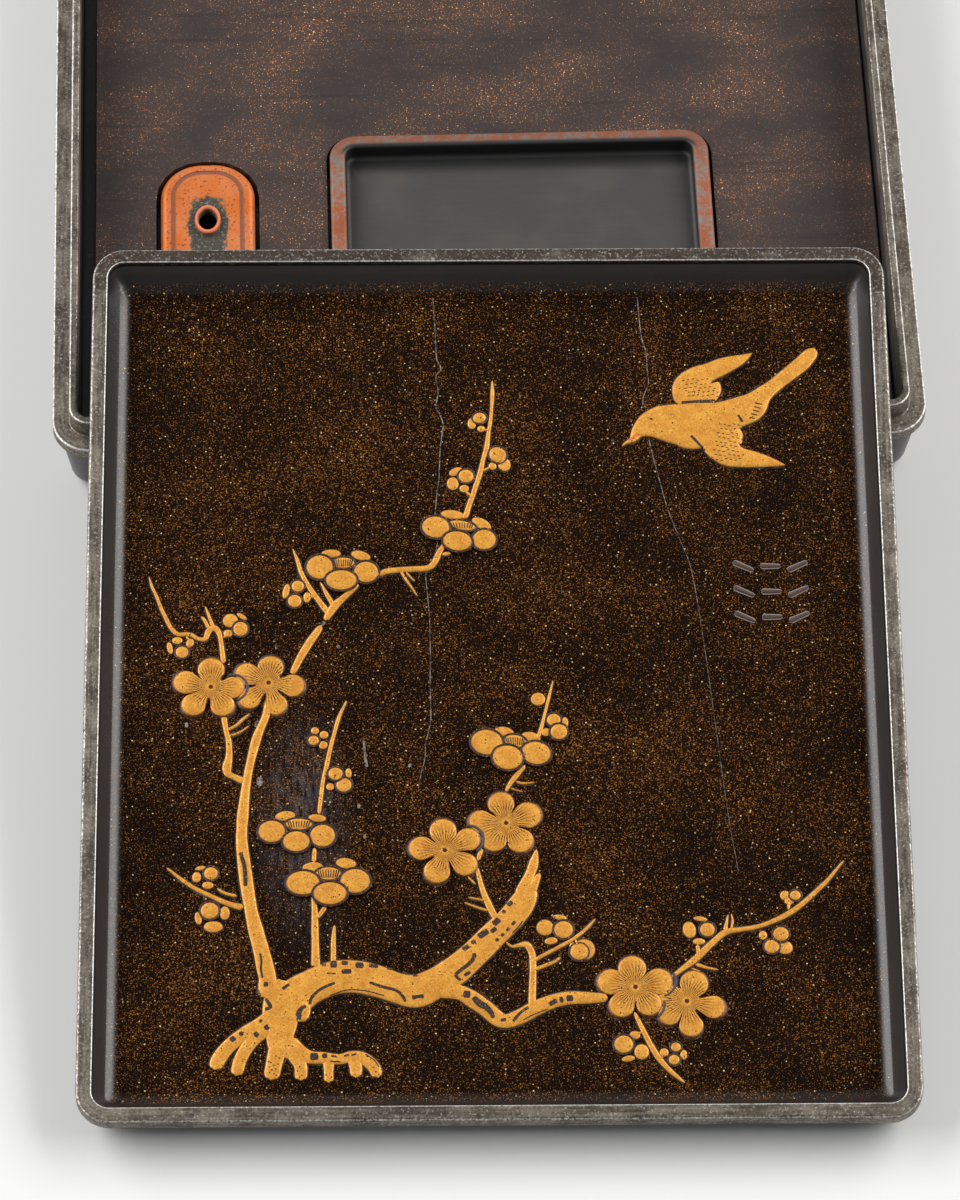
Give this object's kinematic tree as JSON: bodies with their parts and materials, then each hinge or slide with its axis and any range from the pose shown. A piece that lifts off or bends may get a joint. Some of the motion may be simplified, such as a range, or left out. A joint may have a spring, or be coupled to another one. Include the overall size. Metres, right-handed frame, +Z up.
{
  "type": "lacquer writing box",
  "caption": "Low lacquered box with a metal rim, a fitted board with inkstone and copper water dropper, and its lid laid over the near edge, inside up, showing a plum tree and a bird in gold.",
  "frame": {"origin": "on the table, under the middle of the outline of box and lid together", "axes": "+X to the right for someone who writes with it, +Y away from them along the box's length, from the lid's end on the table to the box's far end, +Z up"},
  "size_m": [0.22, 0.443, 0.0455],
  "materials": {
    "black_lacquer": "very dark purple-brown lacquer over wood, satin",
    "rim_metal": "mottled grey-brown pewter-like metal, matt with bright worn edges",
    "board_lacquer": "dark lacquer over wood with sparse copper-gold specks, satin",
    "slate": "smooth slate grey, its rim covered with worn red-orange lacquer",
    "copper": "matt orange copper with dark specks and a patina patch round the spout",
    "lid_lacquer": "dark lacquer with dense fine gold-brown specks and raised gold figures, satin",
    "lid_metal": "mottled grey-brown pewter-like metal, matt with bright worn edges"
  },
  "bodies": {
    "root": {"body_box": "black_lacquer", "body_rim": "rim_metal", "inner_board": "board_lacquer", "inkstone": "slate", "water_dropper": "copper", "lid": "lid_lacquer", "lid_rim": "lid_metal"}
  },
  "joints": []
}
